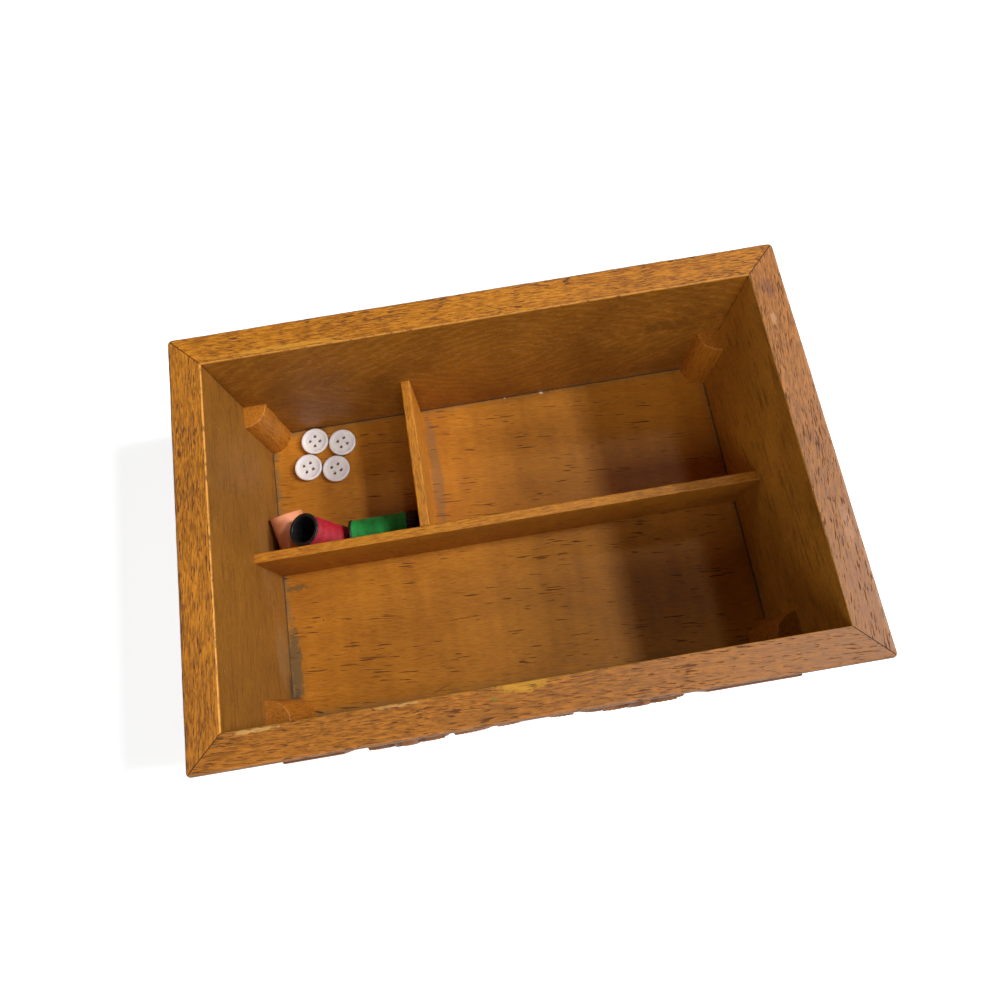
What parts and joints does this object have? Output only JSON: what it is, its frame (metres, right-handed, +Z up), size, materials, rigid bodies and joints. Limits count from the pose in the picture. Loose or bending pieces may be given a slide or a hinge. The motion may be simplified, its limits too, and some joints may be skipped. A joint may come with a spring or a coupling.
{
  "type": "sewing_box",
  "caption": "Open wooden sewing box with mitred walls, a carved front piece, two dividers, quarter-round tray posts, shirt buttons and small spools of thread",
  "frame": {"origin": "centre of the underside of the four walls, on the surface the box stands on", "axes": "+X along the box to the right, +Y from the front wall to the back wall, +Z up"},
  "size_m": [0.208, 0.1432, 0.073],
  "materials": {
    "box_wood": "satin varnish, open pores",
    "floor_wood": "satin varnish, open pores",
    "divider_wood": "satin varnish",
    "post_wood": "satin varnish",
    "carved_wood": "satin varnish",
    "pin_steel": "plain wire steel",
    "button_pearl": "pearly, polished",
    "spool_plastic": "moulded, shiny",
    "spool_paper": "plain rolled paper",
    "thread_green": "wound sewing thread",
    "thread_red": "wound sewing thread",
    "thread_peach": "wound silky thread"
  },
  "bodies": {
    "box": {"front_wall": "box_wood", "right_wall": "box_wood", "back_wall": "box_wood", "left_wall": "box_wood", "floor_panel": "floor_wood", "floor_pins": "pin_steel", "long_divider": "divider_wood", "cross_divider": "divider_wood", "post_front_left": "post_wood", "post_front_right": "post_wood", "post_back_right": "post_wood", "post_back_left": "post_wood", "front_relief": "carved_wood"},
    "button_1": {"button_1": "button_pearl"},
    "button_2": {"button_2": "button_pearl"},
    "button_3": {"button_3": "button_pearl"},
    "button_4": {"button_4": "button_pearl"},
    "green_spool": {"green_spool_tube": "spool_plastic", "green_thread": "thread_green"},
    "red_spool": {"red_spool_tube": "spool_plastic", "red_thread": "thread_red"},
    "peach_spool": {"peach_spool_tube": "spool_paper", "peach_thread": "thread_peach"}
  },
  "joints": [
    {"name": "lift_button_1", "type": "slide", "parent": "box", "child": "button_1", "axis": [0, 0, 1], "range_m": [0, 0.08]},
    {"name": "lift_button_2", "type": "slide", "parent": "box", "child": "button_2", "axis": [0, 0, 1], "range_m": [0, 0.08]},
    {"name": "lift_button_3", "type": "slide", "parent": "box", "child": "button_3", "axis": [0, 0, 1], "range_m": [0, 0.08]},
    {"name": "lift_button_4", "type": "slide", "parent": "box", "child": "button_4", "axis": [0, 0, 1], "range_m": [0, 0.08]},
    {"name": "lift_green_spool", "type": "slide", "parent": "box", "child": "green_spool", "axis": [0, 0, 1], "range_m": [0, 0.08]},
    {"name": "lift_peach_spool", "type": "slide", "parent": "box", "child": "peach_spool", "axis": [0, 0, 1], "range_m": [0, 0.08]},
    {"name": "lift_red_spool", "type": "slide", "parent": "peach_spool", "child": "red_spool", "axis": [0, 0, 1], "range_m": [0, 0.08]}
  ]
}
